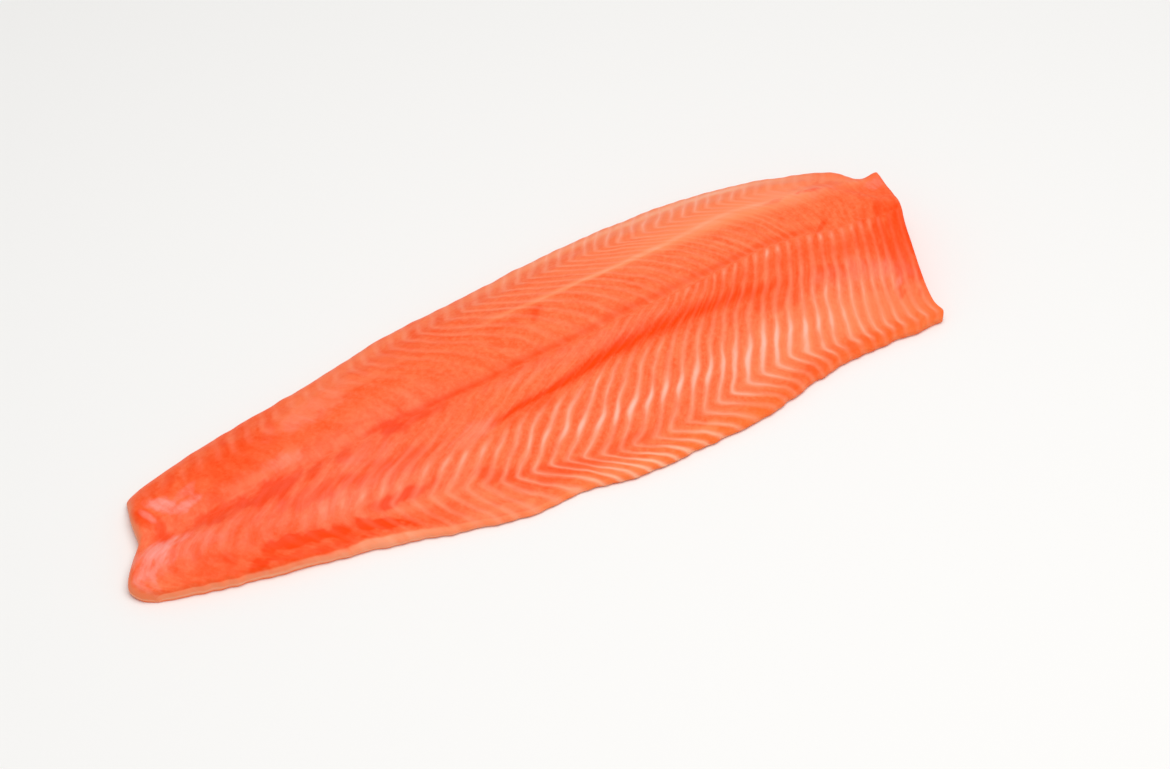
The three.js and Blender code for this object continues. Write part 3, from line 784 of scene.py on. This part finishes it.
# The edge all round, from the rim down: (share of the way down to the foot, inset in mm). It bulges where
# the inset is less than 0. Below the foot the side turns under, to the ground and to the underside's grid.
# The foot is up to this high (mm), and up to this share of the height of the side.
WALL_ROWS = ((0.3, -0.25), (0.65, -0.35), (1.0, -0.1))
FOOT_HEIGHT = 2.2
FOOT_SHARE = 0.5
GROUND_INSET = 1.2
UNDERSIDE_INSET = 4.0

# The unevenness of the upper side, as (height in mm, length in mm, seed), how far the side is lowered to
# make up for it and for the swell of the bands (mm), and the share of the swell where no pale line shows
SURFACE_WAVES = ((0.35, 55, 11), (0.12, 14, 12))
SURFACE_DROP = 0.25
LEAST_SWELL = 0.35

# How far down the cut sides their fat and painted light and the lines of the head end come in, and how far
# in those lines reach (mm). Then the most blood anywhere, and how much of it the fat and painted light of
# the cut sides hides.
WALL_FAT_DEPTH = (0, 1)
HEAD_CUT_DEPTH = (0.5, 4)
HEAD_CUT_REACH = 2
MOST_BLOOD = 1.2
WALL_CLEARING = 0.5

FLESH_ATTRIBUTES = ("band", "marbling", "blood", "fat", "pink", "cream", "gold")

# The key light and the camera, in metres and degrees
KEY_PLACE = (0.1, -0.35, 1.65)
KEY_SIZE = 1.6
CAMERA_PLACE = (-0.5535, -0.9191, 1.0798)
CAMERA_TILT = 45
CAMERA_HEADING = -32.51
FOCAL_LENGTH_MM = 89.23


def linear(hex_colour):
    """An sRGB hex colour as linear red, green and blue."""
    channels = [int(hex_colour[i:i + 2], 16) / 255 for i in (1, 3, 5)]
    return tuple(c / 12.92 if c <= 0.04045 else ((c + 0.055) / 1.055) ** 2.4 for c in channels)


def colour_property(name, description, hex_colour):
    return bpy.props.FloatVectorProperty(
        name=name, description=description, default=linear(hex_colour),
        subtype="COLOR", size=3, min=0, max=1,
    )


class SalmonFilletSettings(bpy.types.PropertyGroup):
    length: bpy.props.FloatProperty(
        name="Length", description="From the tail to the head end", default=480 * MM, unit="LENGTH",
    )
    width: bpy.props.FloatProperty(
        name="Width", description="From the belly edge to the back edge", default=163.4 * MM, unit="LENGTH",
    )
    thickness: bpy.props.FloatProperty(
        name="Thickness", description="Through the crest of the back", default=28.8 * MM, unit="LENGTH",
    )
    band_swell: bpy.props.FloatProperty(
        name="Band swell", description="How far each muscle band swells between two pale lines",
        default=0.3 * MM, unit="LENGTH",
    )
    flesh: colour_property("Flesh", "Plain muscle", "#fb6130")
    blood: colour_property("Deep flesh", "Muscle along the ribs and the backbone", "#f84200")
    # The fatty flesh and the bright fat also paint light on the back, the rims and the cut sides, and along
    # the crest
    fat: colour_property("Fatty flesh", "Muscle over the fat of the back", "#ff8c5c")
    bright_fat_and_light: colour_property("Bright fat", "The fat that shows along the crest and the edges", "#ffb08c")
    pink: colour_property("Sinew", "The sinewy ends of the tail", "#fa988a")
    line_edge: colour_property("Edge of a line", "Flesh beside a pale line", "#ffa17f")
    pale_line: colour_property("Pale line", "Fat between the muscle bands", "#ffc4b3")
    cream: colour_property("Edge fat", "Yellower fat towards the belly edge", "#ffbf99")
    gold: colour_property("Edge flesh", "Yellower flesh towards the belly edge", "#ff7400")


class SalmonStageSettings(bpy.types.PropertyGroup):
    floor_size: bpy.props.FloatProperty(
        name="Floor", description="Side of the floor", default=6.0, unit="LENGTH",
    )
    floor: colour_property("Floor colour", "Plain pale floor", "#f1f0ee")
    key_power: bpy.props.FloatProperty(
        name="Key light", description="Power of the large soft light", default=20.8, unit="POWER",
    )
    sky: bpy.props.FloatProperty(
        name="Sky", description="Strength of the light from all round", default=0.5,
    )


def add(tree, kind, place, inputs=None, output=0, **settings):
    """Adds a node with its settings, links or sets its inputs, and gives back one of its outputs."""
    node = tree.nodes.new(kind)
    node.location = place
    for name, value in settings.items():
        setattr(node, name, value)
    for socket, value in (inputs or {}).items():
        if isinstance(value, bpy.types.NodeSocket):
            tree.links.new(value, node.inputs[socket])
        else:
            node.inputs[socket].default_value = value
    return node.outputs[output] if node.outputs else None


def new_material(name):
    material = bpy.data.materials.new(name)
    material.use_nodes = True
    material.node_tree.nodes.clear()
    return material


def salmon_flesh(settings):
    """Raw salmon muscle, cut and still moist: satin, with light scattered just under the surface.

    Fat between the muscle bands shows as soft pale lines. The flesh deepens where blood has stained it.
    Painted light lifts the back, the rims and the cut sides, painted highlights brighten the crest and the
    knees of the belly lines, and painted shadow darkens the nicks beside the crest.
    """
    material = new_material("raw_salmon_flesh")
    tree = material.node_tree
    spot = add(tree, "ShaderNodeTexCoord", (-3000, -300), output="Object")
    band, marbling, blood, fat, pink, cream, gold = (
        add(tree, "ShaderNodeAttribute", (-3000, 1100 - 200 * row), output="Fac", attribute_name=name)
        for row, name in enumerate(FLESH_ATTRIBUTES)
    )

    # Places along the bands and along the pale lines, so that the mottle runs in strokes beside the lines
    lengthwise = add(tree, "ShaderNodeMath", (-2800, 300), {
        0: band, 1: BAND_LENGTH * MM,
    }, operation="MULTIPLY")
    sideways = add(tree, "ShaderNodeSeparateXYZ", (-3000, -500), {"Vector": spot}, output="Y")
    sideways = add(tree, "ShaderNodeMath", (-2800, 100), {
        0: sideways, 1: STROKE_SHARE,
    }, operation="MULTIPLY")
    strokes = add(tree, "ShaderNodeCombineXYZ", (-2600, 200), {"X": lengthwise, "Y": sideways})

    # Clouds of colour about 25 mm across, a mottle of about 6 mm and a grain of about 2.5 mm
    cloud = add(tree, "ShaderNodeTexNoise", (-2600, 0), {
        "Vector": spot, "Scale": 1 / 0.025, "Detail": 3,
    })
    mottle = add(tree, "ShaderNodeTexNoise", (-2400, 200), {
        "Vector": strokes, "Scale": 1 / 0.006, "Detail": 4, "Roughness": 0.6,
    })
    grain = add(tree, "ShaderNodeTexNoise", (-2600, -200), {
        "Vector": spot, "Scale": 1 / 0.0025, "Detail": 3, "Roughness": 0.6,
    })
    # Muscle fibres run along the fillet. They are drawn about 0.8 mm thick, coarser than real ones, to show.
    fibres = add(tree, "ShaderNodeMapping", (-2800, -500), {"Vector": spot, "Scale": (0.2, 1, 1)})
    fibre = add(tree, "ShaderNodeTexNoise", (-2600, -500), {
        "Vector": fibres, "Scale": 1 / 0.0008, "Detail": 2,
    })
    # The mottle makes the lines uneven, and the stains, the fat, the sinew and the gloss with them
    uneven_line, uneven_stain, uneven_fat, uneven_sinew, roughness = (
        add(tree, "ShaderNodeMapRange", (-2200, 700 - 250 * row), {
            "Value": mottle, "From Min": low, "From Max": high, "To Min": least, "To Max": most,
        })
        for row, (low, high, least, most) in enumerate((
            (0.3, 0.7, 0.8, 1.25), (0.3, 0.7, 1.2, 0.95), (0.3, 0.7, 0.75, 1.1), (0.35, 0.65, 0.35, 1.25),
            (0.3, 0.7, 0.36, 0.5),
        ))
    )

    # Distance from the nearest pale line, in shares of a band: 0 on the line and 0.5 in mid band.
    # A line fades out over about two fifths of a band, 4 mm, to each side, and wavers in width and strength.
    wandering = add(tree, "ShaderNodeMath", (-2000, 900), {
        0: mottle, 1: 0.16, 2: band,
    }, operation="MULTIPLY_ADD")
    beside = add(tree, "ShaderNodeMath", (-1800, 900), {0: wandering, 1: 0.5}, operation="PINGPONG")
    strength = add(tree, "ShaderNodeMath", (-2000, 700), {
        0: marbling, 1: uneven_line,
    }, operation="MULTIPLY")
    reach = add(tree, "ShaderNodeMapRange", (-1800, 700), {
        "Value": strength, "From Min": 0.0, "From Max": 1.3, "To Min": 0.34, "To Max": 0.46,
    })
    profile = add(tree, "ShaderNodeMapRange", (-1600, 900), {
        "Value": beside, "From Min": reach, "From Max": 0.0,
    }, interpolation_type="SMOOTHSTEP")
    line = add(tree, "ShaderNodeMath", (-1400, 900), {0: profile, 1: strength}, operation="MULTIPLY")

    # Flesh, from its plain colour towards lean red and towards pale fat, then the lines over it
    cloudy, mottled, grainy = (
        add(tree, "ShaderNodeMapRange", (-2200, -600 - 250 * row), {
            "Value": noise, "From Min": low, "From Max": 0.75, "To Max": most,
        })
        for row, (noise, low, most) in enumerate((
            (cloud, 0.35, 0.12), (mottle, 0.4, 0.55), (grain, 0.4, 0.5),
        ))
    )
    # The fat share carries painted light on the back, the rims and the cut sides and a painted highlight
    # along the crest
    stained, fatty, sinewy = (
        add(tree, "ShaderNodeMath", (-2000, 450 - 250 * row), {0: share, 1: uneven}, operation="MULTIPLY")
        for row, (share, uneven) in enumerate((
            (blood, uneven_stain), (fat, uneven_fat), (pink, uneven_sinew),
        ))
    )
    bright, skirt, core = (
        add(tree, "ShaderNodeMapRange", (-1200, 900 - 250 * row), {
            "Value": share, "From Min": low, "From Max": high,
        })
        for row, (share, low, high) in enumerate(((fatty, 1.0, 2.0), (line, 0.0, 1.0), (line, 0.4, 1.3)))
    )
    # Inputs 0, 6 and 7 of a colour mix are its share and its two colours, and its output 2 is the result
    line_colour = add(tree, "ShaderNodeMix", (-900, 0), {
        0: cream, 6: (*settings.pale_line, 1), 7: (*settings.cream, 1),
    }, output=2, data_type="RGBA")
    colour = (*settings.flesh, 1)
    for column, (share, tint) in enumerate((
        (cloudy, settings.blood), (mottled, settings.fat), (grainy, settings.fat), (fatty, settings.fat),
        (bright, settings.bright_fat_and_light), (stained, settings.blood), (sinewy, settings.pink),
        (gold, settings.gold), (skirt, settings.line_edge),
    )):
        colour = add(tree, "ShaderNodeMix", (200 * column - 1900, 300), {
            0: share, 6: colour, 7: (*tint, 1),
        }, output=2, data_type="RGBA")
    colour = add(tree, "ShaderNodeMix", (-100, 300), {
        0: core, 6: colour, 7: line_colour,
    }, output=2, data_type="RGBA")

    # The pale lines lie a little lower than the bands, and the fibres leave a fine grain
    hollow = add(tree, "ShaderNodeMath", (-300, -300), {
        0: line, 1: -0.5, 2: fibre,
    }, operation="MULTIPLY_ADD")
    relief = add(tree, "ShaderNodeBump", (-100, -300), {
        "Height": hollow, "Strength": 0.25, "Distance": 0.0003,
    })
    surface = add(tree, "ShaderNodeBsdfPrincipled", (200, 200), {
        "Base Color": colour, "Roughness": roughness, "Normal": relief, "IOR": 1.38,
        "Subsurface Weight": 0.15, "Subsurface Radius": (1.0, 0.35, 0.2), "Subsurface Scale": 0.003,
        "Coat Weight": 0.03, "Coat Roughness": 0.3, "Specular IOR Level": 0.1,
    })
    add(tree, "ShaderNodeOutputMaterial", (500, 200), {"Surface": surface})
    return material


def matte_paper(settings):
    """A plain sheet of matte paper under the fillet."""
    material = new_material("matte_pale_paper")
    tree = material.node_tree
    surface = add(tree, "ShaderNodeBsdfPrincipled", (0, 0), {
        "Base Color": (*settings.floor, 1), "Roughness": 0.9,
    })
    add(tree, "ShaderNodeOutputMaterial", (300, 0), {"Surface": surface})
    return material


def crowded(place, crowding):
    """Places from 0 to 1, closer together near both ends so that the rounded edges are smooth."""
    return (1 - crowding) * place + crowding * (1 - np.cos(np.pi * place)) / 2


def layered_block():
    """A slab of unit size: a fine grid, rows of wall down its sides and a coarser grid beneath.

    Each layer lies one unit lower than the one before, so that its vertices can be told apart.
    """
    bpy.ops.object.select_all(action="DESELECT")
    bpy.ops.mesh.primitive_grid_add(x_subdivisions=UPPER_CELLS[0], y_subdivisions=UPPER_CELLS[1], size=1)
    block = bpy.context.object
    bpy.ops.object.mode_set(mode="EDIT")
    bpy.ops.mesh.select_all(action="SELECT")
    bpy.ops.mesh.region_to_loop()
    for _ in range(len(WALL_ROWS) + 1):
        bpy.ops.mesh.extrude_edges_move(TRANSFORM_OT_translate={"value": (0, 0, -1)})
    bpy.ops.mesh.select_all(action="DESELECT")
    bpy.ops.mesh.primitive_grid_add(
        x_subdivisions=UNDERSIDE_CELLS[0], y_subdivisions=UNDERSIDE_CELLS[1], size=1,
        location=(0, 0, -len(WALL_ROWS) - 2),
    )
    bpy.ops.mesh.select_mode(type="EDGE")
    bpy.ops.mesh.select_all(action="DESELECT")
    bpy.ops.mesh.select_non_manifold(
        extend=False, use_wire=False, use_boundary=True,
        use_multi_face=False, use_non_contiguous=False, use_verts=False,
    )
    bpy.ops.mesh.bridge_edge_loops()
    bpy.ops.mesh.select_all(action="SELECT")
    bpy.ops.mesh.normals_make_consistent(inside=False)
    bpy.ops.object.mode_set(mode="OBJECT")
    return block


def inset_place(form, along, across, inset):
    """The place that lies further in by inset mm at the edges, and less towards the middle."""
    along = along + inset / form.length * (1 - 2 * along)
    across = across + inset / form.span(along) * (1 - 2 * across)
    return along, across


def shape_fillet(block, form, settings):
    """Moves the slab's vertices to the fillet's form, and keeps what its flesh needs as attributes."""
    mesh = block.data
    unit = np.empty(len(mesh.vertices) * 3)
    mesh.vertices.foreach_get("co", unit)
    unit = unit.reshape(-1, 3)
    layer = np.rint(-unit[:, 2]).astype(int)
    along = crowded(np.clip(unit[:, 0] + 0.5, 0, 1), CROWDING[0])
    across = crowded(np.clip(unit[:, 1] + 0.5, 0, 1), CROWDING[1])

    rim = form.height(along, across)
    plan = form.plan(along, across)
    band = wavy(plan[:, 0], plan[:, 1], BAND_WAVES, base=form.line_number(along, across))
    to_knot = form.beside(KNOT_LINE, along, across)
    step = np.tanh(to_knot / KNOT_STEP_HALF_LENGTH) * near(to_knot, KNOT_STEP_REACH) * through(KNOTS, along)
    band = band - KNOT_STEP * step

    # Each band swells between its pale lines, and the whole surface is a little uneven
    marbling = line_strength(form, along, across)
    swell = settings.band_swell / MM * (0.5 - 0.5 * np.cos(math.tau * band))
    bulge = swell * (LEAST_SWELL + (1 - LEAST_SWELL) * marbling)
    top = rim + bulge + wavy(plan[:, 0], plan[:, 1], SURFACE_WAVES) - SURFACE_DROP

    x, y, z = plan[:, 0].copy(), plan[:, 1].copy(), top.copy()
    foot = np.minimum(FOOT_HEIGHT, FOOT_SHARE * top)
    rows = [*WALL_ROWS, (None, GROUND_INSET), (None, UNDERSIDE_INSET)]
    for number, (share, inset) in enumerate(rows, start=1):
        at = layer == number
        inner = form.plan(*inset_place(form, along[at], across[at], inset))
        x[at], y[at] = inner.T
        z[at] = 0 if share is None else top[at] + (foot[at] - top[at]) * share

    depth = np.where(layer == 0, 0, top - z)
    # The cut sides are painted pale, partly fat and partly painted light that lifts them out of their shade
    wall_fat_and_light = through(WALL_FAT_AND_LIGHT, along) * smoothstep(depth, *WALL_FAT_DEPTH)
    head_cut = smoothstep(depth, *HEAD_CUT_DEPTH) * near((1 - along) * form.length, HEAD_CUT_REACH)
    # Between the foot and the ground the flesh gives way to the plainer flesh of the underside
    underside = smoothstep(layer.astype(float), len(WALL_ROWS) - 0.5, len(WALL_ROWS) + 1.0)
    kept = 1 - underside
    belly_rim = near(across * form.span(along), YELLOW_REACH)
    # The blood carries painted shadow in the nicks beside the crest
    blood = np.clip(blood_and_shadow_share(form, along, across), 0, MOST_BLOOD) * (1 - WALL_CLEARING * wall_fat_and_light)
    attributes = {
        "band": band + LINES_PER_MM_OF_DEPTH * depth,
        "marbling": np.maximum(marbling, head_cut * HEAD_CUT_LINES) * kept + UNDERSIDE_LINES * underside,
        "blood": blood * kept,
        # The fat carries painted light on the back, the rims and the cut sides, and a painted highlight
        # along the crest
        "fat": np.maximum(fat_and_light_share(form, along, across), wall_fat_and_light) * kept + UNDERSIDE_FAT * underside,
        "pink": pink_share(form, along, across) * kept,
        "cream": belly_rim * through(CREAM_LINES, along),
        "gold": belly_rim * through(GOLDEN_FLESH, along) * kept,
    }
    for name, values in attributes.items():
        mesh.attributes.new(name, "FLOAT", "POINT").data.foreach_set("value", values.astype(np.float32))

    middle = ((FILLET_LOW + FILLET_HIGH) / 2).to_2d()
    x += middle.x / MM - (x.max() + x.min()) / 2
    y += middle.y / MM - (y.max() + y.min()) / 2
    mesh.vertices.foreach_set("co", (np.stack((x, y, z), axis=-1) * MM).ravel())
    mesh.update()


class SALMON_OT_fillet(bpy.types.Operator):
    """Makes the fillet: one closed mesh that stands for the plain solid"""

    bl_idname = "salmon.fillet"
    bl_label = "Salmon fillet"
    bl_options = {"REGISTER", "UNDO"}

    def execute(self, context):
        settings = context.scene.salmon_fillet
        form = FilletForm(settings.length / MM, settings.width / MM, settings.thickness / MM)
        fillet = layered_block()
        fillet.name = fillet.data.name = "salmon_fillet"
        shape_fillet(fillet, form, settings)
        bpy.ops.object.shade_smooth_by_angle(angle=math.radians(50))
        fillet.data.materials.append(salmon_flesh(settings))
        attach(fillet, "root")
        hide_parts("fillet")
        return {"FINISHED"}


class SALMON_OT_stage(bpy.types.Operator):
    """Makes the plain floor, the soft lights and the camera"""

    bl_idname = "salmon.stage"
    bl_label = "Floor, lights and camera"
    bl_options = {"REGISTER", "UNDO"}

    def execute(self, context):
        settings = context.scene.salmon_stage
        bpy.ops.object.select_all(action="DESELECT")
        bpy.ops.mesh.primitive_plane_add(size=settings.floor_size)
        floor = context.object
        floor.name = floor.data.name = "floor"
        floor.data.materials.append(matte_paper(settings))

        bpy.ops.object.light_add(type="AREA", location=KEY_PLACE)
        key = context.object
        key.name = "key_light"
        key.data.shape = "DISK"
        key.data.size = KEY_SIZE
        key.data.energy = settings.key_power
        key.rotation_mode = "QUATERNION"
        key.rotation_quaternion = key.location.to_track_quat("Z", "Y")

        world = bpy.data.worlds.new("pale_room")
        world.use_nodes = True
        sky = world.node_tree.nodes["Background"]
        sky.inputs["Color"].default_value = (1, 1, 1, 1)
        sky.inputs["Strength"].default_value = settings.sky
        context.scene.world = world
        context.scene.view_settings.view_transform = "Standard"

        bpy.ops.object.camera_add(location=CAMERA_PLACE)
        camera = context.object
        camera.name = "camera"
        camera.data.lens = FOCAL_LENGTH_MM
        camera.data.sensor_width = 36
        camera.data.clip_start = 0.05
        camera.rotation_euler = (math.radians(CAMERA_TILT), 0, math.radians(CAMERA_HEADING))
        context.scene.camera = camera
        return {"FINISHED"}


class SALMON_PT_sidebar(bpy.types.Panel):
    bl_label = "Salmon fillet"
    bl_space_type = "VIEW_3D"
    bl_region_type = "UI"
    bl_category = "Salmon"

    def draw(self, context):
        for operator, settings in (
            (SALMON_OT_fillet, context.scene.salmon_fillet),
            (SALMON_OT_stage, context.scene.salmon_stage),
        ):
            box = self.layout.box()
            box.operator(operator.bl_idname)
            for name in settings.bl_rna.properties.keys():
                if name not in {"rna_type", "name"}:
                    box.prop(settings, name)


CLASSES = (SalmonFilletSettings, SalmonStageSettings, SALMON_OT_fillet, SALMON_OT_stage, SALMON_PT_sidebar)


def register():
    for cls in CLASSES:
        bpy.utils.register_class(cls)
    bpy.types.Scene.salmon_fillet = bpy.props.PointerProperty(type=SalmonFilletSettings)
    bpy.types.Scene.salmon_stage = bpy.props.PointerProperty(type=SalmonStageSettings)


def unregister():
    del bpy.types.Scene.salmon_stage
    del bpy.types.Scene.salmon_fillet
    for cls in reversed(CLASSES):
        bpy.utils.unregister_class(cls)


def main():
    register()
    bpy.ops.salmon.fillet()
    bpy.ops.salmon.stage()


if __name__ == "__main__":
    main()
